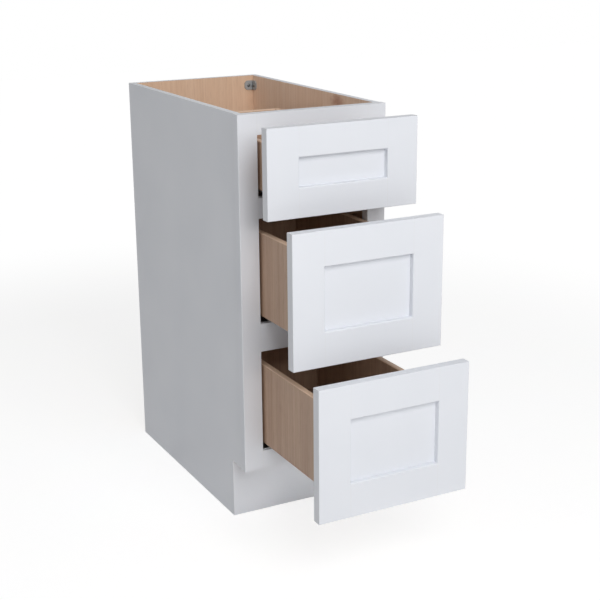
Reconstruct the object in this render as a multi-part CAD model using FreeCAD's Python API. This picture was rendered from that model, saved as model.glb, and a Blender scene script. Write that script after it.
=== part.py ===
import FreeCAD, Part
import os
from FreeCAD import Vector

# Vanity drawer base cabinet with a face frame, three drawers on full-extension undermount slides
# and recessed-panel drawer fronts. Millimetres, +Z up. X = 0 is the middle of the width, Y = 0 the
# wall behind the cabinet and Z = 0 the floor. The front faces -Y. The drawers stand drawn out.

# Case
cabinet_width = 304.8
cabinet_height = 800.1
case_depth = 533.4          # wall to the back of the face frame
panel_thickness = 12.7      # sides, back and bottom
side_reveal = 3.175         # face frame past the outside of each side panel
panel_housing = 6.35        # depth of the housings that hold the back and the bottom
bottom_drop = 6.35          # bottom panel below the top of the bottom rail
toe_kick_height = 117.475
toe_kick_recess = 63.5      # face frame to toe kick
toe_kick_thickness = 12.7

# Face frame
frame_thickness = 19.05
stile_width = 38.1
top_rail_width = 38.1
upper_rail_width = 38.1
lower_rail_width = 53.975
bottom_rail_width = 38.1
top_opening = 114.3
frame_groove = 4.7625       # side panels are let this far into the stiles
tenon_length = 12.7
tenon_thickness = 6.35
tenon_shoulder = 6.35
frame_ease = 1.2            # rounding of the stiles' outer edges

# Drawers: how far each stands drawn out, frame to the back of its front
top_draw = 93.5
middle_draw = 183.5
bottom_draw = 273.5

# Drawer fronts
front_thickness = 19.05
front_gap = 3.175           # between neighbouring fronts
front_side_reveal = 1.5875
front_top_reveal = 9.525
front_bottom_reveal = 19.05
front_stile_width = 61.9125
deep_front_rail_width = 63.5
top_front_rail_width = 53.975
front_recess = 11.1125      # face of the frame to face of the panel
front_panel_thickness = 5.2
front_groove = 9.525        # panel groove and stub tenon
front_panel_float = 0.8     # room at the panel's edges for it to swell
front_ease = 1.2            # rounding of the outer edges
recess_ease = 2.4           # rounding of the frame's edges round the panel

# Drawer boxes
board_thickness = 12.7
box_side_gap = 4.7625       # box to the edge of its opening
box_lift = 14.2875          # box above the rail under it
top_headroom = 11.1125      # box below the rail over it
deep_headroom = 26.9875
box_rabbet = 6.35           # front and back boards let into the sides
box_bottom_thickness = 6.35
box_bottom_groove = 6.35
box_bottom_recess = 12.7    # underside of the bottom above the lower edge of the sides
box_rim_round = 3.175       # rounding of the box's upper edges

# Slides: a rail on the case, a carriage that goes half as far as the drawer, a runner on the drawer
slide_rear_room = 79.55      # tail of the rail to the back panel
carriage_shortening = 57.2   # carriage shorter than the rail
slide_steel = 1.5
slide_width = 15.0
slide_side_gap = 0.5        # runner to the box side
slide_clearance = 0.4       # between members
lip_gap = 1.0               # runner lip to rail lip
rail_floor_gap = 0.8        # rail above the face frame's rail
rail_setback = 3.0          # rail behind the face of the frame
rail_flange_height = 11.0
closed_gap = 2.0            # drawer front to face frame with the drawer shut
carriage_setback = 20.0     # carriage behind the face of the frame with the drawer shut
notch_room = 4.0            # room beside the slide in the back board
hook_tab_width = 9.0        # tab turned up at the runner's rear end
hook_tab_cap = 2.0          # tab above its pin
hook_pin_radius = 2.5
hook_pin_lift = 1.0         # pin above the drawer bottom
hook_pin_length = 9.0       # pin that the tab pushes into the back board

# Rear socket that carries the slide's tail on the back panel
socket_plate_thickness = 4.0
socket_plate_height = 46.0
socket_margin = 3.0
socket_shelf_thickness = 3.0
socket_overlap = 25.0
socket_rib_thickness = 3.0
socket_screw_rise = 24.0    # screw above the shelf

# Lock clip and release lever under the front of each box
clip_width = 26.0
clip_plate_thickness = 3.0
clip_plate_front = 8.0      # plate in front of the lever's pin
clip_plate_rear = 24.0
clip_ear_thickness = 3.0
clip_ear_half_length = 5.0
clip_ear_drop = 10.0
lever_pin_setback = 28.0    # pin behind the box front
lever_pin_drop = 6.0        # pin below the drawer bottom
lever_pin_radius = 2.0
pin_clearance = 0.05
lever_thickness = 3.0
lever_barrel_radius = 2.8
lever_front_reach = 22.0
lever_rear_reach = 14.0
lever_pad_length = 10.0
lever_pad_drop = 2.5
lever_side_clearance = 0.4
hook_length = 5.0
hook_inset = 1.0            # hook from the lever's rear end
catch_clearance = 1.0

# Corner braces in the top corners of the case
brace_leg = 20.0
brace_height = 20.0
brace_thickness = 2.4
brace_corner_cut = 5.0
brace_drop = 11.0           # below the top edge of the case

# Screws
screw_length = 11.5
screw_radius = 2.0
screw_head_radius = 3.8
screw_head_height = 2.2
screw_head_bevel = 0.9
screw_hole_clearance = 0.2
pilot_clearance = 0.05

# Bumper dots on the back of each front
bumper_radius = 4.0
bumper_clearance = 0.1
bumper_inset = 20.0         # from the front's side edge
bumper_end_inset = 25.0     # from the front's top and bottom edges

overrun = 5.0               # cutting tools run this far past a face

frame_front = case_depth + frame_thickness
frame_x = cabinet_width / 2
side_x = frame_x - side_reveal
inner_x = side_x - panel_thickness
opening_x = frame_x - stile_width
front_x = frame_x - front_side_reveal
box_x = opening_x - box_side_gap
box_inner_x = box_x - board_thickness
slide_outer_x = box_inner_x - slide_side_gap
slide_inner_x = slide_outer_x - slide_width
slide_length = frame_front - rail_setback - panel_thickness - slide_rear_room
carriage_length = slide_length - carriage_shortening
box_length = slide_length
slide_mid_x = slide_outer_x - slide_width / 2
toe_kick_y = -(frame_front - toe_kick_recess)
deep_opening = (cabinet_height - toe_kick_height - bottom_rail_width - lower_rail_width
                - upper_rail_width - top_rail_width - top_opening) / 2
bumper_thickness = closed_gap - bumper_clearance

# Heights of the openings, from the floor up
bottom_opening_z = toe_kick_height + bottom_rail_width
lower_rail_z = bottom_opening_z + deep_opening
middle_opening_z = lower_rail_z + lower_rail_width
upper_rail_z = middle_opening_z + deep_opening
top_opening_z = upper_rail_z + upper_rail_width
top_rail_z = top_opening_z + top_opening

sides = (("left", -1), ("right", 1))


def block(xs, ys, zs):
    """A board between two planes in each direction, in either order."""
    low = Vector(min(xs), min(ys), min(zs))
    return Part.makeBox(max(xs) - low.x, max(ys) - low.y, max(zs) - low.z, low)


def across(side, near, far):
    """The pair of X planes from near to far of the middle, on one side."""
    return (side * near, side * far)


def along_y(outline, start, end):
    """A section of (x, z) points drawn out along Y."""
    points = [Vector(x, start, z) for x, z in outline]
    face = Part.Face(Part.makePolygon(points + points[:1]))
    return face.extrude(Vector(0, end - start, 0))


def along_x(outline, start, end):
    """A section of (y, z) points drawn out along X."""
    points = [Vector(start, y, z) for y, z in outline]
    face = Part.Face(Part.makePolygon(points + points[:1]))
    return face.extrude(Vector(end - start, 0, 0))


class Drawer:
    """Places and heights of one drawer, worked out from its opening."""

    def __init__(self, name, opening_z, opening, front_z, front_top, draw, headroom, rail_width):
        self.name = name
        self.rail_width = rail_width
        self.draw = draw
        self.front_z = front_z
        self.front_top = front_top
        self.front_back_y = -(frame_front + draw)
        self.front_face_y = self.front_back_y - front_thickness
        self.box_z = opening_z + box_lift
        self.box_top = opening_z + opening - headroom
        self.box_rear_y = self.front_back_y + box_length
        self.bottom_z = self.box_z + box_bottom_recess
        self.hook_pin_z = self.bottom_z + box_bottom_thickness + hook_pin_lift + hook_pin_radius
        self.slide_z = opening_z + rail_floor_gap
        self.lip_z = (self.slide_z + self.bottom_z) / 2
        self.pin_y = self.front_back_y + board_thickness + lever_pin_setback
        self.pin_z = self.bottom_z - lever_pin_drop


upper_meeting_z = upper_rail_z + upper_rail_width / 2
lower_meeting_z = lower_rail_z + lower_rail_width / 2
drawers = (
    Drawer("top", top_opening_z, top_opening, upper_meeting_z + front_gap / 2,
           cabinet_height - front_top_reveal, top_draw, top_headroom, top_front_rail_width),
    Drawer("middle", middle_opening_z, deep_opening, lower_meeting_z + front_gap / 2,
           upper_meeting_z - front_gap / 2, middle_draw, deep_headroom, deep_front_rail_width),
    Drawer("bottom", bottom_opening_z, deep_opening, toe_kick_height + front_bottom_reveal,
           lower_meeting_z - front_gap / 2, bottom_draw, deep_headroom, deep_front_rail_width),
)

parts = {}


# Screws: each place is the face under the head and the way the point goes
brace_mid = brace_thickness + (brace_leg - brace_thickness) / 2
brace_mid_z = cabinet_height - brace_drop - brace_height / 2
rail_screw_y = -(case_depth + frame_thickness / 2)
socket_face_y = -(panel_thickness + socket_plate_thickness)
socket_mid_x = (slide_inner_x + opening_x) / 2

side_panel_screws = {}
stile_screws = {}
back_panel_screws = []
for _, side in sides:
    outward = Vector(side, 0, 0)
    brace_x = side * (inner_x - brace_mid)
    wall_x = side * (inner_x - brace_thickness)
    rear_face_y = -(panel_thickness + brace_thickness)
    frame_face_y = -(case_depth - brace_thickness)
    side_panel_screws[side] = [
        (Vector(wall_x, -(panel_thickness + brace_mid), brace_mid_z), outward),
        (Vector(wall_x, -(case_depth - brace_mid), brace_mid_z), outward)]
    back_panel_screws.append((Vector(brace_x, rear_face_y, brace_mid_z), Vector(0, 1, 0)))
    stile_screws[side] = [(Vector(brace_x, frame_face_y, brace_mid_z), Vector(0, -1, 0))]
    for drawer in drawers:
        rail_screw_z = drawer.slide_z + (slide_steel + rail_flange_height) / 2
        rail_screw_x = side * (opening_x - slide_steel)
        stile_screws[side].append((Vector(rail_screw_x, rail_screw_y, rail_screw_z), outward))
        socket_screw = Vector(side * socket_mid_x, socket_face_y, drawer.slide_z + socket_screw_rise)
        back_panel_screws.append((socket_screw, Vector(0, 1, 0)))


def drilled(shape, places, clearance):
    """The shape with a hole for each screw."""
    for place, way in places:
        start = place - way * overrun
        depth = overrun + screw_length + pilot_clearance
        shape = shape.cut(Part.makeCylinder(screw_radius + clearance, depth, start, way))
    return shape


def screw(place, way):
    """A pan-head screw."""
    head = Part.makeCylinder(screw_head_radius, screw_head_height, place, way * -1)
    crown = [edge for edge in head.Edges
             if edge.Closed and (edge.CenterOfMass - place).Length > screw_head_height / 2]
    head = head.makeChamfer(screw_head_bevel, crown)
    return head.fuse(Part.makeCylinder(screw_radius, screw_length, place, way)).removeSplitter()


# Case
def side_panel(side):
    """A side with its toe notch, housings for back and bottom, and a front edge that enters the stile."""
    notch_y = toe_kick_y + toe_kick_thickness
    front_y = -(case_depth + frame_groove)
    outline = [(0, 0), (notch_y, 0), (notch_y, toe_kick_height), (front_y, toe_kick_height),
               (front_y, cabinet_height), (0, cabinet_height)]
    panel = along_x(outline, side * inner_x, side * side_x)
    housing = across(side, inner_x - overrun, inner_x + panel_housing)
    panel = panel.cut(block(housing, (-panel_thickness, overrun), (-overrun, cabinet_height + overrun)))
    top = bottom_opening_z - bottom_drop
    panel = panel.cut(block(housing, (-case_depth, -panel_thickness), (top - panel_thickness, top)))
    return drilled(panel, side_panel_screws[side], pilot_clearance)


def back_panel():
    reach = inner_x + panel_housing
    panel = block((-reach, reach), (-panel_thickness, 0), (0, cabinet_height))
    return drilled(panel, back_panel_screws, pilot_clearance)


def bottom_panel():
    reach = inner_x + panel_housing
    top = bottom_opening_z - bottom_drop
    return block((-reach, reach), (-case_depth, -panel_thickness), (top - panel_thickness, top))


def toe_kick():
    """Laps the side panels below the notch and goes up between them to the bottom panel."""
    ys = (toe_kick_y, toe_kick_y + toe_kick_thickness)
    board = block((-side_x, side_x), ys, (0, toe_kick_height))
    top = bottom_opening_z - bottom_drop - panel_thickness
    return board.fuse(block((-inner_x, inner_x), ys, (0, top))).removeSplitter()


# Face frame
rails = (("frame_top_rail", top_rail_z, top_rail_width),
         ("frame_upper_rail", upper_rail_z, upper_rail_width),
         ("frame_lower_rail", lower_rail_z, lower_rail_width),
         ("frame_bottom_rail", toe_kick_height, bottom_rail_width))


def tenon_block(xs, rail_z, rail_width):
    middle_y = -(case_depth + frame_thickness / 2)
    ys = (middle_y - tenon_thickness / 2, middle_y + tenon_thickness / 2)
    return block(xs, ys, (rail_z + tenon_shoulder, rail_z + rail_width - tenon_shoulder))


def frame_rail(rail_z, rail_width):
    board = block((-opening_x, opening_x), (-frame_front, -case_depth), (rail_z, rail_z + rail_width))
    reach = opening_x + tenon_length
    rail = board.fuse(tenon_block((-reach, reach), rail_z, rail_width)).removeSplitter()
    return drilled(rail, stile_screws[-1] + stile_screws[1], pilot_clearance)


def frame_stile(side):
    """A stile with its outer edge rounded, a groove for the side panel and mortises for the rails."""
    depths = (-frame_front, -case_depth)
    stile = block(across(side, opening_x, frame_x), depths, (toe_kick_height, cabinet_height))
    outer = Vector(side * frame_x, -frame_front, (toe_kick_height + cabinet_height) / 2)
    outer_edges = [edge for edge in stile.Edges if edge.CenterOfMass.isEqual(outer, overrun)]
    stile = stile.makeFillet(frame_ease, outer_edges)
    channel_ys = (-case_depth - frame_groove, -case_depth + overrun)
    channel_zs = (toe_kick_height - overrun, cabinet_height + overrun)
    stile = stile.cut(block(across(side, inner_x, side_x), channel_ys, channel_zs))
    for _, rail_z, rail_width in rails:
        mortise = across(side, opening_x - overrun, opening_x + tenon_length)
        stile = stile.cut(tenon_block(mortise, rail_z, rail_width))
    return drilled(stile, stile_screws[side], pilot_clearance)


# Corner braces
def brace_leg_outline(run, across_way):
    """One leg seen square on: free corners cut off, from the case corner outwards."""
    up = Vector(0, 0, 1)
    cut = brace_corner_cut
    steps = ((0, 0), (brace_leg - cut, 0), (brace_leg, cut), (brace_leg, brace_height - cut),
             (brace_leg - cut, brace_height), (0, brace_height))
    points = [run * along + up * rise for along, rise in steps]
    face = Part.Face(Part.makePolygon(points + points[:1]))
    return face.extrude(across_way * brace_thickness)


def corner_brace(side, corner_y, way):
    """An angle brace with one leg on the side panel and one on the back panel or the stile."""
    inward = Vector(-side, 0, 0)
    forward = Vector(0, way, 0)
    brace = brace_leg_outline(forward, inward).fuse(brace_leg_outline(inward, forward)).removeSplitter()
    brace.translate(Vector(side * inner_x, corner_y, cabinet_height - brace_drop - brace_height))
    places = side_panel_screws[side] + stile_screws[side][:1] + back_panel_screws
    return drilled(brace, places, screw_hole_clearance)


# Drawer fronts
def face_rounded(shape, drawer, radius, reach=front_x):
    """The shape with the edges of its face rounded, no further from the middle than reach."""
    edges = [edge for edge in shape.Edges
             if all(vertex.Point.y < drawer.front_face_y + overrun and abs(vertex.Point.x) < reach + overrun
                    for vertex in edge.Vertexes)]
    return shape.makeFillet(radius, edges)


def front_blank(drawer):
    """The whole frame of a front in one, open in the middle, with its face edges rounded."""
    depths = (drawer.front_face_y, drawer.front_back_y)
    inner = front_x - front_stile_width
    heights = (drawer.front_z + drawer.rail_width, drawer.front_top - drawer.rail_width)
    slab = block((-front_x, front_x), depths, (drawer.front_z, drawer.front_top))
    slab = face_rounded(slab, drawer, front_ease)
    opened = slab.cut(block((-inner, inner), (depths[0] - overrun, depths[1] + overrun), heights))
    return face_rounded(opened, drawer, recess_ease, inner)


def groove_ys(drawer):
    start = drawer.front_face_y + front_recess
    return (start, start + front_panel_thickness)


def front_stile(drawer, side):
    inner = front_x - front_stile_width
    heights = (drawer.front_z - overrun, drawer.front_top + overrun)
    depths = (drawer.front_face_y - overrun, drawer.front_back_y + overrun)
    stile = front_blank(drawer).common(block(across(side, inner, front_x + overrun), depths, heights))
    return stile.cut(block(across(side, inner - overrun, inner + front_groove), groove_ys(drawer), heights))


def front_rail(drawer, low, high, groove_low, groove_high):
    """A rail with a stub tenon at each end and a groove for the panel on its inner edge."""
    inner = front_x - front_stile_width
    depths = (drawer.front_face_y - overrun, drawer.front_back_y + overrun)
    rail = front_blank(drawer).common(block((-inner, inner), depths, (low, high)))
    reach = inner + front_groove
    rail = rail.fuse(block((-reach, reach), groove_ys(drawer), (low, high)))
    groove = block((-reach - overrun, reach + overrun), groove_ys(drawer), (groove_low, groove_high))
    return rail.cut(groove).removeSplitter()


def front_rails(drawer):
    lower_edge = drawer.front_z + drawer.rail_width
    upper_edge = drawer.front_top - drawer.rail_width
    lower = front_rail(drawer, drawer.front_z, lower_edge, lower_edge - front_groove, lower_edge + overrun)
    upper = front_rail(drawer, upper_edge, drawer.front_top, upper_edge - overrun, upper_edge + front_groove)
    return [lower, upper]


def front_panel(drawer):
    let_in = front_groove - front_panel_float
    reach = front_x - front_stile_width + let_in
    heights = (drawer.front_z + drawer.rail_width - let_in, drawer.front_top - drawer.rail_width + let_in)
    return block((-reach, reach), groove_ys(drawer), heights)


def bumpers(drawer):
    dots = []
    for height in (drawer.front_z + bumper_end_inset, drawer.front_top - bumper_end_inset):
        for _, side in sides:
            place = Vector(side * (front_x - bumper_inset), drawer.front_back_y, height)
            dots.append(Part.makeCylinder(bumper_radius, bumper_thickness, place, Vector(0, 1, 0)))
    return dots


# Drawer boxes
def box_bottom(drawer):
    reach = box_inner_x + box_bottom_groove
    ys = (drawer.front_back_y + board_thickness - box_bottom_groove,
          drawer.box_rear_y - board_thickness + box_bottom_groove)
    return block((-reach, reach), ys, (drawer.bottom_z, drawer.bottom_z + box_bottom_thickness))


def box_rim(drawer):
    """The four walls of a box as one ring with its upper edges rounded over, inside and out."""
    ys = (drawer.front_back_y, drawer.box_rear_y)
    inner_ys = (drawer.front_back_y + board_thickness, drawer.box_rear_y - board_thickness)
    inner_zs = (drawer.box_z - overrun, drawer.box_top + overrun)
    ring = block((-box_x, box_x), ys, (drawer.box_z, drawer.box_top))
    ring = ring.cut(block((-box_inner_x, box_inner_x), inner_ys, inner_zs))
    middle_z = (drawer.box_z + drawer.box_top) / 2
    upper_edges = [edge for edge in ring.Edges
                   if all(vertex.Point.z > middle_z for vertex in edge.Vertexes)]
    return ring.makeFillet(box_rim_round, upper_edges)


def box_side(drawer, side):
    """A side with rabbets for the front and back boards and a groove for the bottom."""
    heights = (drawer.box_z, drawer.box_top)
    board = block(across(side, box_inner_x, box_x), (drawer.front_back_y, drawer.box_rear_y), heights)
    rabbet_xs = across(side, box_inner_x - overrun, box_inner_x + box_rabbet)
    cut_heights = (drawer.box_z - overrun, drawer.box_top + overrun)
    board = board.cut(block(rabbet_xs, (drawer.front_back_y - overrun, drawer.front_back_y + board_thickness),
                            cut_heights))
    board = board.cut(block(rabbet_xs, (drawer.box_rear_y - board_thickness, drawer.box_rear_y + overrun),
                            cut_heights))
    return board.cut(box_bottom(drawer)).common(box_rim(drawer))


def box_end(drawer, ys):
    reach = box_inner_x + box_rabbet
    board = block((-reach, reach), ys, (drawer.box_z, drawer.box_top)).cut(box_bottom(drawer))
    return board.common(box_rim(drawer))


def box_front(drawer):
    return box_end(drawer, (drawer.front_back_y, drawer.front_back_y + board_thickness))


def hook_pin(drawer, side, clearance):
    """The pin at a runner's rear end, which points forward into the back board."""
    place = Vector(side * slide_mid_x, drawer.box_rear_y, drawer.hook_pin_z)
    length = hook_pin_length + clearance
    return Part.makeCylinder(hook_pin_radius + clearance, length, place, Vector(0, -1, 0))


def box_back(drawer):
    """The back board is notched at its lower corners for the slides and bored for their hooks."""
    board = box_end(drawer, (drawer.box_rear_y - board_thickness, drawer.box_rear_y))
    depths = (drawer.box_rear_y - board_thickness - overrun, drawer.box_rear_y + overrun)
    for _, side in sides:
        notch = across(side, slide_inner_x - notch_room, box_inner_x)
        board = board.cut(block(notch, depths, (drawer.box_z - overrun, drawer.bottom_z)))
        board = board.cut(hook_pin(drawer, side, pin_clearance))
    return board


# Slides
def slide_rail(drawer, side):
    """Roll-formed rail: a channel for the carriage and an arm out to a flange on the stile."""
    low = drawer.slide_z
    floor = low + slide_steel
    lip = drawer.lip_z - lip_gap / 2
    flange_top = low + rail_flange_height
    flange_x = opening_x - slide_steel
    outline = [(slide_inner_x, low), (opening_x, low), (opening_x, flange_top), (flange_x, flange_top),
               (flange_x, floor), (slide_outer_x, floor), (slide_outer_x, lip),
               (slide_outer_x - slide_steel, lip), (slide_outer_x - slide_steel, floor),
               (slide_inner_x + slide_steel, floor), (slide_inner_x + slide_steel, lip), (slide_inner_x, lip)]
    start = -(frame_front - rail_setback)
    rail = along_y([(side * x, z) for x, z in outline], start, start + slide_length)
    return drilled(rail, stile_screws[side], screw_hole_clearance)


def slide_carriage(drawer, side):
    """A tube that runs in the rail's channel and under the runner."""
    wall = slide_steel + slide_clearance
    xs = (slide_inner_x + wall, slide_outer_x - wall)
    zs = (drawer.slide_z + wall, drawer.bottom_z - wall)
    start = -(frame_front - carriage_setback) - (drawer.draw - closed_gap) / 2
    ys = (start, start + carriage_length)
    tube = block(across(side, *xs), ys, zs)
    bore_xs = (xs[0] + slide_steel, xs[1] - slide_steel)
    bore_zs = (zs[0] + slide_steel, zs[1] - slide_steel)
    return tube.cut(block(across(side, *bore_xs), (ys[0] - overrun, ys[1] + overrun), bore_zs))


def slide_runner(drawer, side):
    """A channel over the carriage: a catch notch for the lever's hook, a tab and pin at the rear."""
    top = drawer.bottom_z
    web = top - slide_steel
    lip = drawer.lip_z + lip_gap / 2
    outline = [(slide_inner_x, lip), (slide_inner_x, top), (slide_outer_x, top), (slide_outer_x, lip),
               (slide_outer_x - slide_steel, lip), (slide_outer_x - slide_steel, web),
               (slide_inner_x + slide_steel, web), (slide_inner_x + slide_steel, lip)]
    start = drawer.front_back_y + board_thickness
    runner = along_y([(side * x, z) for x, z in outline], start, drawer.box_rear_y)
    hook_end = drawer.pin_y + lever_rear_reach - hook_inset
    catch_ys = (hook_end - hook_length - catch_clearance, hook_end + catch_clearance)
    catch_top = drawer.pin_z + lever_thickness / 2 + slide_clearance
    catch_xs = across(side, slide_inner_x - overrun, slide_inner_x + slide_steel)
    runner = runner.cut(block(catch_xs, catch_ys, (lip - overrun, catch_top)))
    hook_tab_top = drawer.hook_pin_z + hook_pin_radius + hook_tab_cap
    tab = block(across(side, slide_mid_x - hook_tab_width / 2, slide_mid_x + hook_tab_width / 2),
                (drawer.box_rear_y, drawer.box_rear_y + slide_steel), (web, hook_tab_top))
    return runner.fuse(tab).fuse(hook_pin(drawer, side, 0)).removeSplitter()


def rear_socket(drawer, side):
    """A moulded bracket: plate on the back panel, shelf under the rail's tail, two ribs between them."""
    shelf_top = drawer.slide_z
    shelf_low = shelf_top - socket_shelf_thickness
    xs = (slide_inner_x - socket_margin, opening_x + socket_margin)
    plate_top = shelf_low + socket_plate_height
    plate = block(across(side, *xs), (socket_face_y, -panel_thickness), (shelf_low, plate_top))
    rail_end = -(frame_front - rail_setback) + slide_length
    shelf = block(across(side, *xs), (rail_end - socket_overlap, -panel_thickness), (shelf_low, shelf_top))
    rib = [(socket_face_y, shelf_top), (rail_end, shelf_top), (socket_face_y, plate_top)]
    bracket = plate.fuse(shelf)
    for x in (xs[0], xs[1] - socket_rib_thickness):
        bracket = bracket.fuse(along_x(rib, side * x, side * (x + socket_rib_thickness)))
    return drilled(bracket.removeSplitter(), back_panel_screws, screw_hole_clearance)


# Lock clips and release levers
def lock_clip(drawer, side):
    """Plate under the drawer bottom with two ears for the lever's pin."""
    xs = (slide_inner_x - clip_width, slide_inner_x)
    ys = (drawer.pin_y - clip_plate_front, drawer.pin_y + clip_plate_rear)
    clip = block(across(side, *xs), ys, (drawer.bottom_z - clip_plate_thickness, drawer.bottom_z))
    ear_ys = (drawer.pin_y - clip_ear_half_length, drawer.pin_y + clip_ear_half_length)
    ear_zs = (drawer.bottom_z - clip_ear_drop, drawer.bottom_z)
    for near in (xs[0], xs[1] - clip_ear_thickness):
        clip = clip.fuse(block(across(side, near, near + clip_ear_thickness), ear_ys, ear_zs))
    hole = Part.makeCylinder(lever_pin_radius + pin_clearance, clip_width + 2 * overrun,
                             Vector(side * (xs[0] - overrun), drawer.pin_y, drawer.pin_z), Vector(side, 0, 0))
    return clip.removeSplitter().cut(hole)


def release_lever(drawer, side):
    """Arm on a pin: a finger pad in front, a hook that stands in the runner's catch behind."""
    xs = (slide_inner_x - clip_width, slide_inner_x)
    room = clip_ear_thickness + lever_side_clearance
    arm_xs = (xs[0] + room, xs[1] - room)
    half = lever_thickness / 2
    arm_zs = (drawer.pin_z - half, drawer.pin_z + half)
    front = drawer.pin_y - lever_front_reach
    rear = drawer.pin_y + lever_rear_reach
    lever = block(across(side, *arm_xs), (front, rear), arm_zs)
    pad_zs = (arm_zs[0] - lever_pad_drop, arm_zs[1])
    lever = lever.fuse(block(across(side, *arm_xs), (front, front + lever_pad_length), pad_zs))
    hook_ys = (rear - hook_inset - hook_length, rear - hook_inset)
    lever = lever.fuse(block(across(side, arm_xs[0], xs[1] + slide_steel), hook_ys, arm_zs))
    barrel_start = Vector(side * arm_xs[0], drawer.pin_y, drawer.pin_z)
    barrel = Part.makeCylinder(lever_barrel_radius, arm_xs[1] - arm_xs[0], barrel_start, Vector(side, 0, 0))
    pin_start = Vector(side * xs[0], drawer.pin_y, drawer.pin_z)
    pin = Part.makeCylinder(lever_pin_radius, clip_width, pin_start, Vector(side, 0, 0))
    return lever.fuse(barrel).fuse(pin).removeSplitter()


for name, side in sides:
    parts[name + "_side_panel"] = [side_panel(side)]
    parts["frame_" + name + "_stile"] = [frame_stile(side)]
parts["back_panel"] = [back_panel()]
parts["bottom_panel"] = [bottom_panel()]
parts["toe_kick"] = [toe_kick()]
for name, rail_z, rail_width in rails:
    parts[name] = [frame_rail(rail_z, rail_width)]
parts["corner_braces"] = [corner_brace(side, corner_y, way) for _, side in sides
                          for corner_y, way in ((-panel_thickness, -1), (-case_depth, 1))]
case_screws = list(back_panel_screws)
for _, side in sides:
    case_screws += side_panel_screws[side] + stile_screws[side]
parts["case_screws"] = [screw(place, way) for place, way in case_screws]

for drawer in drawers:
    prefix = drawer.name + "_"
    parts[prefix + "front_stiles"] = [front_stile(drawer, side) for _, side in sides]
    parts[prefix + "front_rails"] = front_rails(drawer)
    parts[prefix + "front_panel"] = [front_panel(drawer)]
    parts[prefix + "bumpers"] = bumpers(drawer)
    for name, side in sides:
        parts[prefix + "box_" + name + "_side"] = [box_side(drawer, side)]
        parts[prefix + name + "_lever"] = [release_lever(drawer, side)]
    parts[prefix + "box_front"] = [box_front(drawer)]
    parts[prefix + "box_back"] = [box_back(drawer)]
    parts[prefix + "box_bottom"] = [box_bottom(drawer)]
    parts[prefix + "slide_rails"] = [slide_rail(drawer, side) for _, side in sides]
    parts[prefix + "slide_carriages"] = [slide_carriage(drawer, side) for _, side in sides]
    parts[prefix + "slide_runners"] = [slide_runner(drawer, side) for _, side in sides]
    parts[prefix + "lock_clips"] = [lock_clip(drawer, side) for _, side in sides]
parts["rear_sockets"] = [rear_socket(drawer, side) for drawer in drawers for _, side in sides]

os.makedirs("parts", exist_ok=True)
for name, solids in parts.items():
    shape = solids[0] if len(solids) == 1 else Part.makeCompound(solids)
    shape.exportStep("parts/" + name + ".step")
    state = "valid" if shape.isValid() else "BROKEN"
    print(name, len(shape.Solids), "solids", round(shape.Volume), "mm3", state)
print(len(parts), "nodes")
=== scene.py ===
# %% [markdown]
# A narrow bathroom base cabinet: a white face-frame case with three drawers, each drawn out a little
# further than the one above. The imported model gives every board, slide and lever at its real size.
# This lesson adds what the eye sees: paint, veneer, steel, screws, light and a camera.
# Everything is in metres, with +Z up, the wall at Y = 0 and the front of the cabinet facing -Y.

# %% Load the frame
import math
import random

import bmesh
import bpy
from mathutils import Matrix, Vector


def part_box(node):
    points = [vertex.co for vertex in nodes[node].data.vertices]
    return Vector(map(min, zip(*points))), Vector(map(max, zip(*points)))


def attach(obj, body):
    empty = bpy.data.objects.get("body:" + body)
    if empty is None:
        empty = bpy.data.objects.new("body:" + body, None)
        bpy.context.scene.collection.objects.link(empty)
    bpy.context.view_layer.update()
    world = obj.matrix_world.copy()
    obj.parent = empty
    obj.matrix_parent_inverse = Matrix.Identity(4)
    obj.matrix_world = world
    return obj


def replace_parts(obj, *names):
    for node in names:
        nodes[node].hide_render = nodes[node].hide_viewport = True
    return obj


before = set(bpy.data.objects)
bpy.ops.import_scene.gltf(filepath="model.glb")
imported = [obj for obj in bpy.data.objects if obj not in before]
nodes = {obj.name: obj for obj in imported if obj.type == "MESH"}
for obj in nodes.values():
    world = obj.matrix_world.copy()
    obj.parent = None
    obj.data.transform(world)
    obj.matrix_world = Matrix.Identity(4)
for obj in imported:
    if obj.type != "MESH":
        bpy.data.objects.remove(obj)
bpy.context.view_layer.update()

MM = 0.001
drawer_names = ("top", "middle", "bottom")

# %% [markdown]
# The camera stands to the left of the cabinet and a little above it, about two and a half metres
# from its front. Its place was found by matching the corners of the case and of the three drawer
# fronts. A long lens keeps the boards nearly parallel, and the camera leans half a degree.

# %% Camera
camera_place = Vector((-1.0735, -2.5496, 1.1179))
camera_look = Vector((0.44322, 0.84940, -0.28649))
camera_lean_deg = -0.54
image_width_px = 600
focal_px = 1252.9
sensor_mm = 36.0

camera_data = bpy.data.cameras.new("photo_camera")
camera_data.sensor_width = sensor_mm
camera_data.lens = focal_px / image_width_px * sensor_mm
camera = bpy.data.objects.new("photo_camera", camera_data)
lean = Matrix.Rotation(math.radians(camera_lean_deg), 4, "Z")
camera.matrix_world = (Matrix.Translation(camera_place)
                       @ camera_look.to_track_quat("-Z", "Y").to_matrix().to_4x4() @ lean)
bpy.context.scene.collection.objects.link(camera)
bpy.context.scene.camera = camera
print("lens:", round(camera_data.lens, 2), "mm")

# %% [markdown]
# Every finish below is a small graph of shader nodes. One helper adds a node, sets its properties
# and fills its sockets with plain values or with links, so a finish reads as a list of steps.
# Colours are written as sRGB hex values, as a paint card gives them, and turned to linear light here.

# %% Helpers for colours and nodes
def linear(hex_colour):
    """A linear RGBA colour from an sRGB hex value."""
    channels = [int(hex_colour[i:i + 2], 16) / 255 for i in (1, 3, 5)]
    return [c / 12.92 if c <= 0.04045 else ((c + 0.055) / 1.055) ** 2.4 for c in channels] + [1.0]


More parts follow.
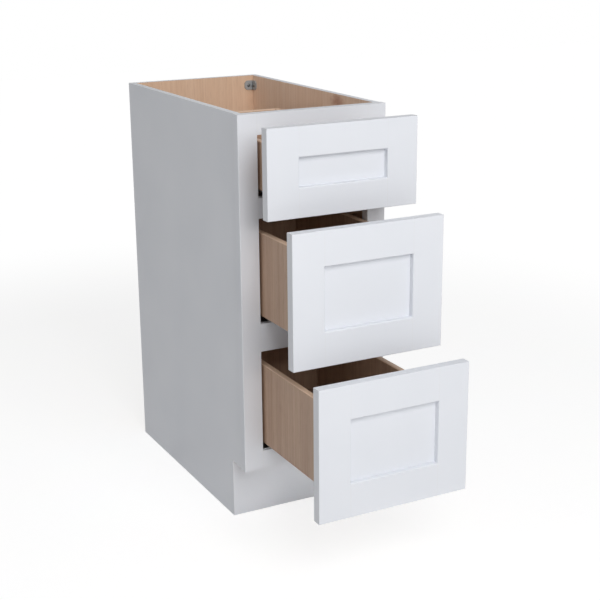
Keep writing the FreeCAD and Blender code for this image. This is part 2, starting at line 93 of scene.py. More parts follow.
def add(tree, kind, inputs=None, **settings):
    """A new shader node with its properties set and its sockets filled or linked."""
    made = tree.nodes.new("ShaderNode" + kind)
    for name, value in settings.items():
        setattr(made, name, value)
    for key, value in (inputs or {}).items():
        if isinstance(value, bpy.types.NodeSocket):
            tree.links.new(value, made.inputs[key])
        else:
            made.inputs[key].default_value = value
    return made


bpy.context.scene.view_settings.view_transform = "Standard"
print("mid grey of a paint card in linear light:", round(linear("#808080")[0], 3))

# %% [markdown]
# The cabinet stands in a bright plain studio. The room is white to the camera and in reflections, but
# it lights the boards only moderately, so that paint renders about as its hex value says.

# %% Studio room
room_light = 0.285


def seen_directly(tree):
    """1 for rays from the camera, or that reached it by reflection or through clear matter, else 0."""
    path = add(tree, "LightPath")
    seen = path.outputs["Is Camera Ray"]
    for ray in ("Is Glossy Ray", "Is Transmission Ray"):
        seen = add(tree, "Math", {0: seen, 1: path.outputs[ray]}, operation="MAXIMUM").outputs[0]
    return seen


world = bpy.data.worlds.new("studio_room")
world.use_nodes = True
tree = world.node_tree
tree.nodes.clear()
strength = add(tree, "Mix", {0: seen_directly(tree), 2: room_light, 3: 1.0}, data_type="FLOAT")
background = add(tree, "Background", {"Color": linear("#FFFFFF"), "Strength": strength.outputs[0]})
add(tree, "OutputWorld", {"Surface": background.outputs[0]})
bpy.context.scene.world = world
print("room light:", room_light)

# %% [markdown]
# Three soft lamps do the rest. The large one stands in front and above head height: it makes the drawer
# fronts the brightest faces, leaves their upper edges a little greyer and drops a soft shadow under the
# upper edge of each recess. A weak one far to the left lifts the side of the case. A small one lies on
# the floor and shines under the drawers at the toe kick, which they would otherwise leave dark. A grid
# keeps its beam so narrow that it passes below the lowest front.

# %% Lamps
fronts_middle = Vector((0.0, -0.60, 0.45))
toe_kick_middle = Vector((0.02, -0.489, 0.055))
open_deg, grid_deg = 180.0, 16.0
lamps = (("front_softbox", Vector((-0.30, -3.40, 2.30)), fronts_middle, (2.0, 2.2), open_deg, 73.5),
         ("left_softbox", Vector((-3.00, -0.60, 1.60)), fronts_middle, (1.6, 1.6), open_deg, 3.8),
         ("toe_kick_strip", Vector((0.22, -1.45, 0.05)), toe_kick_middle, (0.30, 0.06), grid_deg, 0.038))

for name, place, aim, (width, height), spread_deg, watts in lamps:
    lamp_data = bpy.data.lights.new(name, "AREA")
    lamp_data.shape = "RECTANGLE"
    lamp_data.size = width
    lamp_data.size_y = height
    lamp_data.spread = math.radians(spread_deg)
    lamp_data.energy = watts
    lamp = bpy.data.objects.new(name, lamp_data)
    turn = (aim - place).to_track_quat("-Z", "Y").to_matrix().to_4x4()
    lamp.matrix_world = Matrix.Translation(place) @ turn
    lamp.visible_camera = False
    bpy.context.scene.collection.objects.link(lamp)
    print(name, "stands", round((aim - place).length, 2), "m away")

# %% [markdown]
# The floor is a seamless white paper sweep. To the camera most of its white is a glow of its own,
# so it merges with the room, and the rest is ordinary diffuse paper that still takes the cabinet's
# shadow. Further out the glow takes over. To every other ray it is plain white paper, so it throws no
# more light than paper would. From below it is clear, so that the underside of the cabinet can be seen.

# %% Floor
floor_size = 14.0
paper_glow = 0.76
paper_colour = linear("#F2F2F2")
paper_seen_colour = linear("#A6A6A6")
shadow_near, shadow_far = 0.9, 1.9    # metres from the foot of the wall
fibre_mm = 9.0
fibre_share = 0.02

floor_mesh = bpy.data.meshes.new("paper_floor")
half = floor_size / 2
floor_corners = [(-half, -half, 0), (half, -half, 0), (half, half, 0), (-half, half, 0)]
floor_mesh.from_pydata(floor_corners, [], [(0, 1, 2, 3)])
floor = bpy.data.objects.new("paper_floor", floor_mesh)
bpy.context.scene.collection.objects.link(floor)
paper = bpy.data.materials.new("studio_paper")
paper.use_nodes = True
tree = paper.node_tree
tree.nodes.clear()
seen = seen_directly(tree)
fibres = add(tree, "TexNoise", {"Scale": 1 / (fibre_mm * MM), "Detail": 3.0})
where = add(tree, "TexCoord")
away = add(tree, "VectorMath", {0: where.outputs["Object"]}, operation="LENGTH")
far = add(tree, "MapRange", {0: away.outputs["Value"], 1: shadow_near, 2: shadow_far},
          interpolation_type="SMOOTHSTEP")
near_tone = add(tree, "Mix", {0: far.outputs[0], 6: paper_seen_colour, 7: linear("#000000")},
                data_type="RGBA")
tone = add(tree, "Mix", {0: seen, 6: paper_colour, 7: near_tone.outputs[2]}, data_type="RGBA")
tone = add(tree, "Mix", {0: fibre_share, 6: tone.outputs[2], 7: fibres.outputs["Color"]},
           data_type="RGBA")
diffuse = add(tree, "BsdfDiffuse", {"Color": tone.outputs[2]})
glow_level = add(tree, "Mix", {0: far.outputs[0], 2: paper_glow, 3: 1.0}, data_type="FLOAT")
glow_share = add(tree, "Math", {0: seen, 1: glow_level.outputs[0]}, operation="MULTIPLY")
glow = add(tree, "Emission", {"Color": linear("#FFFFFF"), "Strength": glow_share.outputs[0]})
surface = add(tree, "AddShader", {0: diffuse.outputs[0], 1: glow.outputs[0]})
from_below = add(tree, "NewGeometry").outputs["Backfacing"]
clear = add(tree, "BsdfTransparent")
surface = add(tree, "MixShader", {0: from_below, 1: surface.outputs[0], 2: clear.outputs[0]})
add(tree, "OutputMaterial", {"Surface": surface.outputs[0]})
floor_mesh.materials.append(paper)
print("floor:", floor_size, "m square")

# %% [markdown]
# A finish is made of three things: a colour, a roughness and a height for the bump. Each finish
# function adds its pattern to a material and returns those three sockets, and how high the bump is in
# millimetres. A second function joins them to one Principled shader. That way one board can carry two
# finishes, such as paint outside and veneer inside, chosen by the direction that a face looks in.
# Blender's noise hardly ever leaves the range from 0.3 to 0.7, so that range is spread over a finish's
# roughness.

# %% One shader from a finish
noise_low, noise_high = 0.3, 0.7


def board_space(tree):
    """Coordinates in metres that stay with the piece, and the direction that its surface looks in."""
    place = add(tree, "TexCoord")
    return place.outputs["Object"], place.outputs["Normal"]


def finished(name, finish, **fixed):
    """A material whose Principled shader takes colour, roughness and bump from a finish function."""
    material = bpy.data.materials.new(name)
    material.use_nodes = True
    tree = material.node_tree
    tree.nodes.clear()
    colour, roughness, height, relief_mm = finish(tree)
    bump = add(tree, "Bump", {"Strength": 1.0, "Distance": relief_mm * MM, "Height": height})
    shader = add(tree, "BsdfPrincipled",
                 {"Base Color": colour, "Roughness": roughness, "Normal": bump.outputs[0]})
    for socket, value in fixed.items():
        shader.inputs[socket.replace("_", " ")].default_value = value
    add(tree, "OutputMaterial", {"Surface": shader.outputs[0]})
    print("material:", name, len(tree.nodes), "nodes")
    return material


print("noise is read from", noise_low, "to", noise_high)

# %% [markdown]
# The white is a sprayed catalysed enamel on maple and fibreboard. Spraying leaves a very fine
# orange peel, about two millimetres from crest to crest, and the grain below shows through as faint
# lines. The real peel is a few microns high. It is drawn a little stronger here so that it shows at all.
# Silica in the last coat dulls the gloss to satin, so the shader's reflection is rough and weak.
# Corners are drawn a touch darker than the flats: painted shade along the edges and in the inside
# corners.

# %% White enamel
paint_white = "#E9EBF0"
paint_shade = "#E3E6EC"
# The corner tone is painted shade along edges and in inside corners.
painted_corner_shade = "#DDDCD8"
peel_mm = 2.2
peel_relief_mm = 0.05
grain_width_mm = 1.6
grain_length_mm = 90.0
grain_share = 0.4
cloud_mm = 140.0
enamel_smooth, enamel_rough = 0.50, 0.58
enamel_ior, satin_level = 1.5, 0.3
corner_mm = 0.9
corner_starts, corner_full = 0.98, 0.80    # cosine between the flat and the rounded normal
corner_shade_share = 0.6
axes = "xyz"


def stretched(tree, place, across_mm, along_mm, grain):
    """Coordinates that make a pattern across_mm wide and along_mm long, along one axis."""
    sizes = [1 / ((along_mm if axis == grain else across_mm) * MM) for axis in axes]
    return add(tree, "Mapping", {"Vector": place, "Scale": sizes}).outputs[0]


def enamel(grain):
    """Sprayed white enamel over boards whose grain runs along one axis, with painted shade at edges and
    corners.
    """
    def finish(tree):
        place, _ = board_space(tree)
        cloud = add(tree, "TexNoise", {"Vector": place, "Scale": 1 / (cloud_mm * MM), "Detail": 2.0})
        along_grain = stretched(tree, place, grain_width_mm, grain_length_mm, grain)
        lines = add(tree, "TexNoise", {"Vector": along_grain, "Scale": 1.0, "Detail": 2.0})
        peel = add(tree, "TexNoise", {"Vector": place, "Scale": 1 / (peel_mm * MM), "Detail": 1.0})
        colour = add(tree, "Mix", {0: cloud.outputs[0], 6: linear(paint_white), 7: linear(paint_shade)},
                     data_type="RGBA")
        # Painted shade: the white turns towards the corner tone where the rounded normal leaves the flat
        # one.
        rounded = add(tree, "Bevel", {"Radius": corner_mm * MM}, samples=4)
        flat = add(tree, "NewGeometry")
        bend = add(tree, "VectorMath", {0: rounded.outputs[0], 1: flat.outputs["Normal"]},
                   operation="DOT_PRODUCT")
        corner = add(tree, "MapRange", {0: bend.outputs["Value"], 1: corner_starts, 2: corner_full,
                                        3: 0.0, 4: corner_shade_share})
        colour = add(tree, "Mix", {0: corner.outputs[0], 6: colour.outputs[2], 7: linear(painted_corner_shade)},
                     data_type="RGBA")
        roughness = add(tree, "MapRange", {0: cloud.outputs[0], 1: noise_low, 2: noise_high,
                                           3: enamel_smooth, 4: enamel_rough})
        height = add(tree, "Mix", {0: grain_share, 2: peel.outputs[0], 3: lines.outputs[0]},
                     data_type="FLOAT")
        return colour.outputs[2], roughness.outputs[0], height.outputs[0], peel_relief_mm
    return finish


white_upright = finished("white_enamel_upright_grain", enamel("z"),
                         IOR=enamel_ior, Specular_IOR_Level=satin_level)
white_level = finished("white_enamel_level_grain", enamel("x"),
                       IOR=enamel_ior, Specular_IOR_Level=satin_level)

# %% [markdown]
# The inside of the case and the drawer boxes are maple veneer under a thin clear coat. The veneer
# was cut flat from the log, so its colour drifts in long soft streaks, with fine pores a fraction of a
# millimetre wide. Here the streaks are noise drawn out along the grain, and the pores are the same
# noise much finer, drawn as coarse as one millimetre because anything finer is lost in the render.
# The back of the case is a little redder than its sides, and the boxes are darker. The case is drawn
# paler than the boxes and its sides paler than its back, as painted light on the inner walls of the case.
# Each set of tones runs from the pale ground over its drift and its bands to the pores.

# %% Maple veneer
# The case tones are painted light: drawn paler than the boxes' tones, the sides palest.
back_maple_painted_light = ("#E8C7AB", "#E1BEA1", "#D5B093", "#C59D81")
side_maple_painted_light = ("#F9DEC8", "#F3D5BC", "#E8C9B0", "#D8B69C")
box_maple = ("#C1A38C", "#B5967F", "#A4846D", "#90725C")
streak_width_mm = 16.0
streak_length_mm = 700.0
band_width_mm = 4.5
band_length_mm = 320.0
pore_width_mm = 1.0
pore_length_mm = 26.0
veneer_relief_mm = 0.06
drift_low, drift_high, drift_swirl = 0.32, 0.68, 0.4
band_low, band_high, band_share = 0.50, 0.75, 0.55
pore_low, pore_high, pore_share = 0.56, 0.72, 0.5
veneer_smooth, veneer_rough = 0.42, 0.55
clear_coat_ior = 1.5


def veneer_pattern(tree, place, grain, tones):
    """Colour, roughness and height of flat-cut maple with its grain along one axis."""
    light, mid, streak, pore_tone = [linear(tone) for tone in tones]
    streaks = stretched(tree, place, streak_width_mm, streak_length_mm, grain)
    drift = add(tree, "TexNoise", {"Vector": streaks, "Scale": 1.0, "Detail": 3.0,
                                   "Distortion": drift_swirl})
    stripes = stretched(tree, place, band_width_mm, band_length_mm, grain)
    bands = add(tree, "TexNoise", {"Vector": stripes, "Scale": 1.0, "Detail": 4.0})
    dashes = stretched(tree, place, pore_width_mm, pore_length_mm, grain)
    pores = add(tree, "TexNoise", {"Vector": dashes, "Scale": 1.0, "Detail": 2.0})
    base = add(tree, "MapRange", {0: drift.outputs[0], 1: drift_low, 2: drift_high})
    colour = add(tree, "Mix", {0: base.outputs[0], 6: light, 7: mid}, data_type="RGBA")
    dark = add(tree, "MapRange", {0: bands.outputs[0], 1: band_low, 2: band_high, 3: 0.0, 4: band_share})
    colour = add(tree, "Mix", {0: dark.outputs[0], 6: colour.outputs[2], 7: streak}, data_type="RGBA")
    pore = add(tree, "MapRange", {0: pores.outputs[0], 1: pore_low, 2: pore_high, 3: 0.0, 4: pore_share})
    colour = add(tree, "Mix", {0: pore.outputs[0], 6: colour.outputs[2], 7: pore_tone}, data_type="RGBA")
    roughness = add(tree, "MapRange", {0: bands.outputs[0], 1: noise_low, 2: noise_high,
                                       3: veneer_smooth, 4: veneer_rough})
    height = add(tree, "Math", {0: 1.0, 1: pore.outputs[0]}, operation="SUBTRACT")
    return colour.outputs[2], roughness.outputs[0], height.outputs[0]


print("maple streaks:", streak_width_mm, "mm wide,", streak_length_mm, "mm long")

# %% [markdown]
# Boards change finish from face to face. A face is told by the direction that it looks in, so a mask
# is one part of the object's own normal. Plywood shows its plies on raw edges: thin pale and dark
# layers, about a millimetre and a half each, which a sine across the thickness draws.

# %% Faces and plies
ply_mm = 1.6
ply_pale = "#DCBE9F"
ply_dark = "#A67C5B"
ply_edge = 0.4    # part of the sine over which one ply turns into the next
facing_low, facing_high = 0.45, 0.55


def facing(tree, looks, axis, sign):
    """1 on faces that look along one axis, 0 on the rest."""
    part = add(tree, "SeparateXYZ", {0: looks}).outputs[axes.index(axis)]
    return add(tree, "MapRange", {0: part, 1: facing_low * sign, 2: facing_high * sign}).outputs[0]


def plies(tree, place, thickness_axis):
    """The colour of a raw plywood edge."""
    depth = add(tree, "SeparateXYZ", {0: place}).outputs[axes.index(thickness_axis)]
    turns = add(tree, "Math", {0: depth, 1: math.pi / (ply_mm * MM)}, operation="MULTIPLY")
    wave = add(tree, "Math", {0: turns.outputs[0]}, operation="SINE")
    share = add(tree, "MapRange", {0: wave.outputs[0], 1: -ply_edge, 2: ply_edge})
    return add(tree, "Mix", {0: share.outputs[0], 6: linear(ply_pale), 7: linear(ply_dark)},
               data_type="RGBA").outputs[2]


print("plies:", ply_mm, "mm each")

# %% [markdown]
# A drawer board is veneered on both sides, with its grain upright. A strip of solid maple, sanded round,
# hides the plies on its upper edge, where hands go. It is paler than the veneer, and drawn paler still as
# a painted highlight on the upward face. The lower edge stays bare.

# %% Drawer boards
pale_rim_with_highlight = "#F0D0B4"
rim_highlight_share = 0.75


def box_board(thickness_axis):
    """Upright veneer, a pale solid strip on the upper edge with a painted highlight, bare plies below."""
    def finish(tree):
        place, looks = board_space(tree)
        colour, roughness, height = veneer_pattern(tree, place, "z", box_maple)
        along = "x" if thickness_axis == "y" else "y"
        strip, _, _ = veneer_pattern(tree, place, along, box_maple)
        # Painted highlight: the upper-edge strip is mixed towards a pale tone, paler than the solid maple
        # itself.
        strip = add(tree, "Mix", {0: rim_highlight_share, 6: strip, 7: linear(pale_rim_with_highlight)},
                    data_type="RGBA").outputs[2]
        for sign, edge in ((1, strip), (-1, plies(tree, place, thickness_axis))):
            mask = facing(tree, looks, "z", sign)
            colour = add(tree, "Mix", {0: mask, 6: colour, 7: edge}, data_type="RGBA").outputs[2]
        return colour, roughness, height, veneer_relief_mm
    return finish


def veneered(grain):
    """Plain veneer all over, for the thin bottoms."""
    def finish(tree):
        place, _ = board_space(tree)
        return (*veneer_pattern(tree, place, grain, box_maple), veneer_relief_mm)
    return finish


maple_side = finished("maple_drawer_side", box_board("x"), IOR=clear_coat_ior)
maple_end = finished("maple_drawer_end", box_board("y"), IOR=clear_coat_ior)
maple_floor = finished("maple_drawer_floor", veneered("y"), IOR=clear_coat_ior)

# %% [markdown]
# The case panels are painted outside and on their upper edges, and clear-coated inside. High on the
# inner face of the right one sits a small pin knot, a darker oval that the grain drifts round. A mapping
# makes its oval a unit ball, some noise ruffles its rim, and the distance from its middle fades it out.

# %% Case panels
knot_middle_mm = (-396.0, 786.0)
knot_half_mm = (24.0, 13.0)
knot_tone = "#BD8B74"
knot_ruffle = 0.5
knot_ruffle_mm = 12.0
knot_rim, knot_core, knot_share = 1.3, 0.3, 0.8
no_limit = 1000.0


def knotted(tree, place, colour):
    """The colour with a knot at one place of the panel, straight through its thickness."""
    middle = [0.0] + [size * MM for size in knot_middle_mm]
    half_sizes = [no_limit] + [size * MM for size in knot_half_mm]
    oval = add(tree, "Mapping", {"Vector": place, "Location": middle, "Scale": half_sizes},
               vector_type="TEXTURE")
    ruffles = knot_half_mm[0] / knot_ruffle_mm
    ruffle = add(tree, "TexNoise", {"Vector": oval.outputs[0], "Scale": ruffles, "Detail": 3.0})
    away = add(tree, "VectorMath", {0: oval.outputs[0]}, operation="LENGTH")
    wobble = add(tree, "MapRange", {0: ruffle.outputs[0], 3: -knot_ruffle, 4: knot_ruffle})
    edge = add(tree, "Math", {0: away.outputs["Value"], 1: wobble.outputs[0]}, operation="ADD")
    share = add(tree, "MapRange", {0: edge.outputs[0], 1: knot_rim, 2: knot_core, 3: 0.0, 4: knot_share})
    return add(tree, "Mix", {0: share.outputs[0], 6: colour, 7: linear(knot_tone)},
               data_type="RGBA").outputs[2]


def case_panel(tones, thickness_axis, painted, raw, knot=False):
    """Veneer with some faces painted white, and bare plies on the raw edges."""
    def finish(tree):
        place, looks = board_space(tree)
        colour, roughness, height = veneer_pattern(tree, place, "z", tones)
        if knot:
            colour = knotted(tree, place, colour)
        bare = plies(tree, place, thickness_axis)
        for axis, sign in raw:
            mask = facing(tree, looks, axis, sign)
            colour = add(tree, "Mix", {0: mask, 6: colour, 7: bare}, data_type="RGBA").outputs[2]
        paint, sheen, peel, _ = enamel("z")(tree)
        for axis, sign in painted:
            mask = facing(tree, looks, axis, sign)
            colour = add(tree, "Mix", {0: mask, 6: colour, 7: paint}, data_type="RGBA").outputs[2]
            roughness = add(tree, "Mix", {0: mask, 2: roughness, 3: sheen}, data_type="FLOAT").outputs[0]
            height = add(tree, "Mix", {0: mask, 2: height, 3: peel}, data_type="FLOAT").outputs[0]
        return colour, roughness, height, veneer_relief_mm
    return finish


up, down, to_wall = ("z", 1), ("z", -1), ("y", 1)
left_finish = case_panel(side_maple_painted_light, "x", painted=(("x", -1), up), raw=(to_wall, down))
right_finish = case_panel(side_maple_painted_light, "x", painted=(("x", 1), up), raw=(to_wall, down), knot=True)
back_finish = case_panel(back_maple_painted_light, "y", painted=(up,), raw=(down,))
case_left = finished("case_side_left", left_finish, IOR=clear_coat_ior)
case_right = finished("case_side_right", right_finish, IOR=clear_coat_ior)
case_back = finished("case_back", back_finish, IOR=clear_coat_ior)

# %% [markdown]
# The slides are rolled from zinc-plated steel strip. Rolling leaves faint lines along the strip and
# plating leaves a cool, slightly mottled grey. The screws of the braces are phosphated instead, which
# leaves steel a duller and darker grey. Both metals keep the default index of refraction.

# %% Steels
roll_line_mm = 0.9
roll_length_mm = 120.0
roll_relief_mm = 0.02


def steel(light, dull, mottle_mm, smooth, rough):
    """Steel with faint lines along the depth of the cabinet and a mottled coat."""
    def finish(tree):
        place, _ = board_space(tree)
        rolled = stretched(tree, place, roll_line_mm, roll_length_mm, "y")
        lines = add(tree, "TexNoise", {"Vector": rolled, "Scale": 1.0, "Detail": 3.0})
        mottle = add(tree, "TexNoise", {"Vector": place, "Scale": 1 / (mottle_mm * MM), "Detail": 4.0})
        colour = add(tree, "Mix", {0: mottle.outputs[0], 6: linear(light), 7: linear(dull)},
                     data_type="RGBA")
        roughness = add(tree, "MapRange", {0: lines.outputs[0], 1: noise_low, 2: noise_high,
                                           3: smooth, 4: rough})
        return colour.outputs[2], roughness.outputs[0], lines.outputs[0], roll_relief_mm
    return finish


zinc_coat = steel("#C9CBCD", "#AEB1B4", mottle_mm=12.0, smooth=0.28, rough=0.46)
phosphate_coat = steel("#8E8E8C", "#747473", mottle_mm=1.5, smooth=0.45, rough=0.60)
zinc_steel = finished("zinc_plated_rolled_steel", zinc_coat, Metallic=1.0)
phosphated_steel = finished("phosphated_steel", phosphate_coat, Metallic=1.0)

# %% [markdown]
# The corner braces, the rear sockets and the lock clips are injection moulded nylon, mid grey with a
# fine spark-eroded texture about a third of a millimetre across, drawn at half a millimetre. The
# levers are smoother acetal in a paler grey, so that a hand finds them. The bumper dots are soft
# polyurethane, nearly clear.

# %% Moulded plastics
flow_mm = 30.0


def moulded(light, dark, grit_mm, relief_mm, smooth, rough):
    """Moulded plastic: the grit of its mould, and tones that drift as the melt flowed."""
    def finish(tree):
        place, _ = board_space(tree)
        grit = add(tree, "TexNoise", {"Vector": place, "Scale": 1 / (grit_mm * MM), "Detail": 2.0})
        flow = add(tree, "TexNoise", {"Vector": place, "Scale": 1 / (flow_mm * MM), "Detail": 2.0})
        colour = add(tree, "Mix", {0: flow.outputs[0], 6: linear(light), 7: linear(dark)},
                     data_type="RGBA")
        roughness = add(tree, "MapRange", {0: grit.outputs[0], 1: noise_low, 2: noise_high,
                                           3: smooth, 4: rough})
        return colour.outputs[2], roughness.outputs[0], grit.outputs[0], relief_mm
    return finish


nylon = moulded("#A6A8A9", "#979A9C", grit_mm=0.5, relief_mm=0.03, smooth=0.45, rough=0.60)
acetal = moulded("#C3C6C8", "#B6BABD", grit_mm=0.8, relief_mm=0.01, smooth=0.30, rough=0.42)
polyurethane = moulded("#E3E4E1", "#D6D8D6", grit_mm=1.2, relief_mm=0.01, smooth=0.25, rough=0.40)
grey_nylon = finished("grey_nylon_moulded", nylon, IOR=1.53)
pale_acetal = finished("pale_acetal_moulded", acetal, IOR=1.48)
clear_rubber = finished("polyurethane_cast", polyurethane, IOR=1.49)

# %% [markdown]
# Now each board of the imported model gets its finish. The meshes stay as they are: only their
# material slots change.

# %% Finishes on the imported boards
def dress(node, material):
    """The node with one material in place of what it had."""
    slots = nodes[node].data.materials
    slots.clear()
    slots.append(material)


case_finishes = ((case_left, ("left_side_panel",)),
                 (case_right, ("right_side_panel",)),
                 (case_back, ("back_panel",)),
                 (maple_floor, ("bottom_panel",)),
                 (white_upright, ("frame_left_stile", "frame_right_stile")),
                 (white_level, ("frame_top_rail", "frame_upper_rail", "frame_lower_rail",
                                "frame_bottom_rail", "toe_kick")),
                 (grey_nylon, ("corner_braces", "rear_sockets")),
                 (zinc_steel, ("case_screws",)))
drawer_finishes = ((white_upright, ("front_stiles", "front_panel")),
                   (white_level, ("front_rails",)),
                   (clear_rubber, ("bumpers",)),
                   (maple_side, ("box_left_side", "box_right_side")),
                   (maple_end, ("box_front", "box_back")),
                   (maple_floor, ("box_bottom",)),
                   (zinc_steel, ("slide_rails", "slide_carriages", "slide_runners")),
                   (grey_nylon, ("lock_clips",)),
                   (pale_acetal, ("left_lever", "right_lever")))
for material, names in case_finishes:
    for name in names:
        dress(name, material)
for drawer in drawer_names:
    for material, names in drawer_finishes:
        for name in names:
            dress(drawer + "_" + name, material)
print("dressed:", sum(1 for piece in nodes.values() if piece.data.materials), "nodes")

# %% [markdown]
# Pan-head screws with a cross recess hold the braces, the slide rails and the rear sockets. The packed
# model has each one as a plain solid in its hole. Its mesh tells where the head sits and which way the
# shank goes, so no place has to be typed in again: the widest ring of points is the head, and the far
# side of that ring is its seat.

# %% Where the screws sit
rim_share = 0.99    # of the widest radius
weld_mm = 0.001


def seat_of(points):
    """The middle of one screw's seat and the way that its shank goes, from the points of its mesh."""
    low, high = [Vector([pick(point[i] for point in points) for i in range(3)]) for pick in (min, max)]
    middle = (low + high) / 2
    along = max(range(3), key=lambda i: high[i] - low[i])
    axis = Vector([float(i == along) for i in range(3)])
    steps = [(point - middle).dot(axis) for point in points]
    reaches = [(point - middle - axis * step).length for point, step in zip(points, steps)]
    rim = [step for step, reach in zip(steps, reaches) if reach > rim_share * max(reaches)]
    way = 1 if sum(rim) < 0 else -1
    return middle + axis * way * max(step * way for step in rim), axis * way


def screw_seats(node):
    """The seat of every screw in a node."""
    welded = bmesh.new()
    welded.from_mesh(nodes[node].data)
    bmesh.ops.remove_doubles(welded, verts=welded.verts, dist=weld_mm * MM)
    welded.verts.index_update()
    reached, seats = set(), []
    for first in welded.verts:
        if first.index not in reached:
            reached.add(first.index)
            solid = [first]
            for vertex in solid:
                for other in (edge.other_vert(vertex) for edge in vertex.link_edges):
                    if other.index not in reached:
                        reached.add(other.index)
                        solid.append(other)
            seats.append(seat_of([vertex.co.copy() for vertex in solid]))
    welded.free()
    return seats


case_seats = screw_seats("case_screws")
print("screws in the case:", len(case_seats))

# %% [markdown]
# One screw is drawn once and copied to every seat. Its outline is turned round the axis, ring by ring,
# and two tapered bars cut the cross out of the crown with Boolean modifiers. The thread is left smooth,
# because all of it is inside the boards.

# %% A cross-head screw
screw_outline_mm = ((0.5, -11.3), (2.0, -9.2), (2.0, 0.0), (3.7, 0.0), (3.8, 0.2), (3.8, 0.7),
                    (3.55, 1.25), (3.0, 1.7), (2.1, 2.03), (1.0, 2.18))
turn_steps = 28
cross_length_mm = 4.4
cross_width_mm = 1.1
cross_depth_mm = 1.5
cross_over_mm = 0.5    # bar above the crown, so that the cut is clean
cross_taper_share = 0.55


def turned(outline_mm):
    """A mesh with an outline of radius and height turned round the Z axis, closed at both ends."""
    made = bmesh.new()
    rings = []
    for radius, height in outline_mm:
        angles = [2 * math.pi * step / turn_steps for step in range(turn_steps)]
        rings.append([made.verts.new((radius * MM * math.cos(a), radius * MM * math.sin(a), height * MM))
                      for a in angles])
    for lower, upper in zip(rings, rings[1:]):
        for i in range(turn_steps):
            made.faces.new((lower[i - 1], lower[i], upper[i], upper[i - 1]))
    made.faces.new(rings[0][::-1])
    made.faces.new(rings[-1])
    return made


def cross_bar(length_mm, width_mm):
    """One bar of the cross, narrower at the bottom of the recess than at the crown."""
    crown_mm = screw_outline_mm[-1][1]
    made = bmesh.new()
    bmesh.ops.create_cube(made, size=2.0)
    for vertex in made.verts:
        share = 1.0 if vertex.co.z > 0 else cross_taper_share
        height_mm = crown_mm + cross_over_mm if vertex.co.z > 0 else crown_mm - cross_depth_mm
        vertex.co = Vector((vertex.co.x * length_mm * share / 2, vertex.co.y * width_mm * share / 2,
                            height_mm)) * MM
    return made


def as_object(name, made):
    """A bmesh as a new object in the scene."""
    mesh = bpy.data.meshes.new(name)
    made.to_mesh(mesh)
    made.free()
    new = bpy.data.objects.new(name, mesh)
    bpy.context.scene.collection.objects.link(new)
    return new


blank = as_object("screw_blank", turned(screw_outline_mm))
bars = [as_object("cross_bar_" + str(i), cross_bar(*size))
        for i, size in enumerate(((cross_length_mm, cross_width_mm), (cross_width_mm, cross_length_mm)))]
for bar in bars:
    cut = blank.modifiers.new("cross", "BOOLEAN")
    cut.operation = "DIFFERENCE"
    cut.solver = "EXACT"
    cut.object = bar
screw_mesh = bpy.data.meshes.new_from_object(blank.evaluated_get(bpy.context.evaluated_depsgraph_get()))
for spare in [blank] + bars:
    bpy.data.objects.remove(spare)
print("one screw:", len(screw_mesh.polygons), "faces")

# %% [markdown]
# Copies of one mesh become one piece that rides on a body. Screws stop at any angle, so each copy is
# turned by a seeded chance. The braces have phosphated screws, and the slides have zinc-plated ones.

# %% Screws of the case
screw_seed = 7
chance = random.Random(screw_seed)


def copies(name, mesh, places, material, body):
    """Copies of a mesh at these places, joined to one piece on a body."""
    made = bmesh.new()
    for place in places:
        first = len(made.verts)
        made.from_mesh(mesh)
        made.verts.ensure_lookup_table()
        bmesh.ops.transform(made, matrix=place, verts=made.verts[first:])
    piece = as_object(name, made)
    piece.data.materials.clear()
    piece.data.materials.append(material)
    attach(piece, body)
    print(name, len(places), "copies,", len(piece.data.polygons), "faces")
    return piece


def driven(seat, way):
    """The place of a screw in its seat, turned by chance."""
    turn = Matrix.Rotation(chance.uniform(0, math.pi / 2), 4, "Z")
    return Matrix.Translation(seat) @ (-way).to_track_quat("Z", "Y").to_matrix().to_4x4() @ turn


brace_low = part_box("corner_braces")[0][2]
brace_places = [driven(seat, way) for seat, way in case_seats if seat.z > brace_low]
slide_places = [driven(seat, way) for seat, way in case_seats if seat.z <= brace_low]
for name, places, material in (("brace_screws", brace_places, phosphated_steel),
                               ("slide_screws", slide_places, zinc_steel)):
    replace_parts(copies(name, screw_mesh, places, material, "cabinet"), "case_screws")

# %% [markdown]
# Each drawer front is screwed on from inside its box, through the box front, with a broad washer under
# each head so that the front can be shifted until its gaps are even. The four screws stand well
# inside the corners of the box front, above the drawer bottom.

# %% Screws of the drawer fronts
washer_outline_mm = ((2.4, 0.0), (7.0, 0.0), (7.2, 0.3), (7.0, 0.9), (6.2, 1.2), (2.4, 1.2))
screw_inset_mm = 42.0
screw_share_low = 0.25
screw_share_high = 0.78


def ring(outline_mm):
    """A turned outline that is open in the middle, as a washer is."""
    made = turned(outline_mm)
    made.faces.ensure_lookup_table()
    bmesh.ops.delete(made, geom=made.faces[-2:], context="FACES_ONLY")
    made.verts.ensure_lookup_table()
    inner, outer = made.verts[:turn_steps], made.verts[-turn_steps:]
    for i in range(turn_steps):
        made.faces.new((outer[i - 1], outer[i], inner[i], inner[i - 1]))
    return made


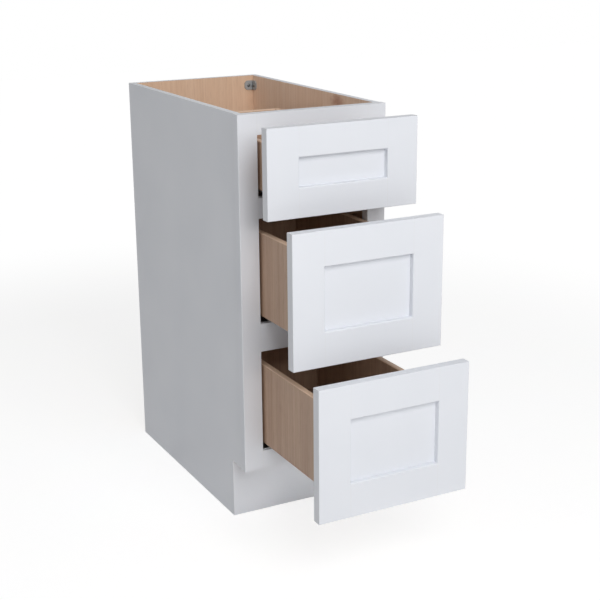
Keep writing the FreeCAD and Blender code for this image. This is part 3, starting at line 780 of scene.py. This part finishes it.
washer = as_object("washer_blank", ring(washer_outline_mm))
washer_mesh = washer.data
bpy.data.objects.remove(washer)
washer_lift = Matrix.Translation((0, 0, washer_outline_mm[-1][1] * MM))
for drawer in drawer_names:
    low, high = [Vector(corner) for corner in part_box(drawer + "_box_front")]
    floor_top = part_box(drawer + "_box_bottom")[1][2]
    heights = [floor_top + (high.z - floor_top) * share for share in (screw_share_low, screw_share_high)]
    seats = [driven(Vector((x, high.y, z)), Vector((0, -1, 0)))
             for x in (low.x + screw_inset_mm * MM, high.x - screw_inset_mm * MM) for z in heights]
    copies(drawer + "_front_washers", washer_mesh, seats, zinc_steel, drawer + "_drawer")
    lifted = [seat @ washer_lift for seat in seats]
    copies(drawer + "_front_screws", screw_mesh, lifted, zinc_steel, drawer + "_drawer")

# %% [markdown]
# The back panel is glued into the rebates of the sides and stapled while the glue sets. A staple is flat
# wire bent to a crown and two legs. The crown stops nearly flush with the board. Here a rectangle
# follows the bent line, and the staples stand a little crooked, as a gun leaves them.

# %% Staples in the back
crown_mm = 10.0
wire_width_mm, wire_thickness_mm = 1.3, 0.6
leg_mm = 7.0
bend_mm = 1.0
bend_steps = 4
sunk_mm = 0.1
row_step_mm = 82.0
row_end_mm = 45.0
staple_edge_mm = 3.2
crooked_deg = 5.0
floor_row_shares = (0.2, 0.5, 0.8)    # of the width, into the edge of the case floor


def staple():
    """Flat wire along X, with its crown at Y = 0 and its legs towards -Y."""
    corner = crown_mm / 2 - bend_mm
    line = [(-crown_mm / 2, -leg_mm)]
    for side in (-1, 1):
        angles = [math.pi / 2 * step / bend_steps for step in range(bend_steps + 1)]
        bend = [(side * (corner + bend_mm * math.cos(a)), bend_mm * (math.sin(a) - 1)) for a in angles]
        line += bend if side < 0 else bend[::-1]
    line.append((crown_mm / 2, -leg_mm))
    made = bmesh.new()
    sections = []
    for i, (x, y) in enumerate(line):
        before, after = Vector(line[max(i - 1, 0)]), Vector(line[min(i + 1, len(line) - 1)])
        across = (after - before).normalized().orthogonal() * wire_thickness_mm / 2
        corners = [Vector((x + a * across.x, y + a * across.y, b * wire_width_mm / 2))
                   for a, b in ((1, 1), (1, -1), (-1, -1), (-1, 1))]
        sections.append([made.verts.new(corner * MM) for corner in corners])
    for lower, upper in zip(sections, sections[1:]):
        for i in range(len(lower)):
            made.faces.new((lower[i - 1], lower[i], upper[i], upper[i - 1]))
    made.faces.new(sections[0])
    made.faces.new(sections[-1][::-1])
    bmesh.ops.recalc_face_normals(made, faces=made.faces)
    return made


def stapled(x, z, upright):
    """The place of a staple on the back of the case, with its crown upright or level."""
    turn_deg = (90 if upright else 0) + chance.uniform(-crooked_deg, crooked_deg)
    turn = Matrix.Rotation(math.radians(turn_deg), 4, "Y")
    return Matrix.Translation((x, back_high.y - sunk_mm * MM, z)) @ turn


back_low, back_high = [Vector(corner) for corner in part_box("back_panel")]
floor_low, floor_high = [Vector(corner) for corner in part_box("bottom_panel")]
row_length = back_high.z - back_low.z - 2 * row_end_mm * MM
row_count = round(row_length / (row_step_mm * MM)) + 1
places = []
for x in (back_low.x + staple_edge_mm * MM, back_high.x - staple_edge_mm * MM):
    for i in range(row_count):
        places.append(stapled(x, back_low.z + row_end_mm * MM + row_length * i / (row_count - 1), True))
for share in floor_row_shares:
    x = back_low.x + (back_high.x - back_low.x) * share
    places.append(stapled(x, (floor_low.z + floor_high.z) / 2, False))
staple_blank = as_object("staple_blank", staple())
staple_mesh = staple_blank.data
bpy.data.objects.remove(staple_blank)
copies("back_staples", staple_mesh, places, zinc_steel, "cabinet")
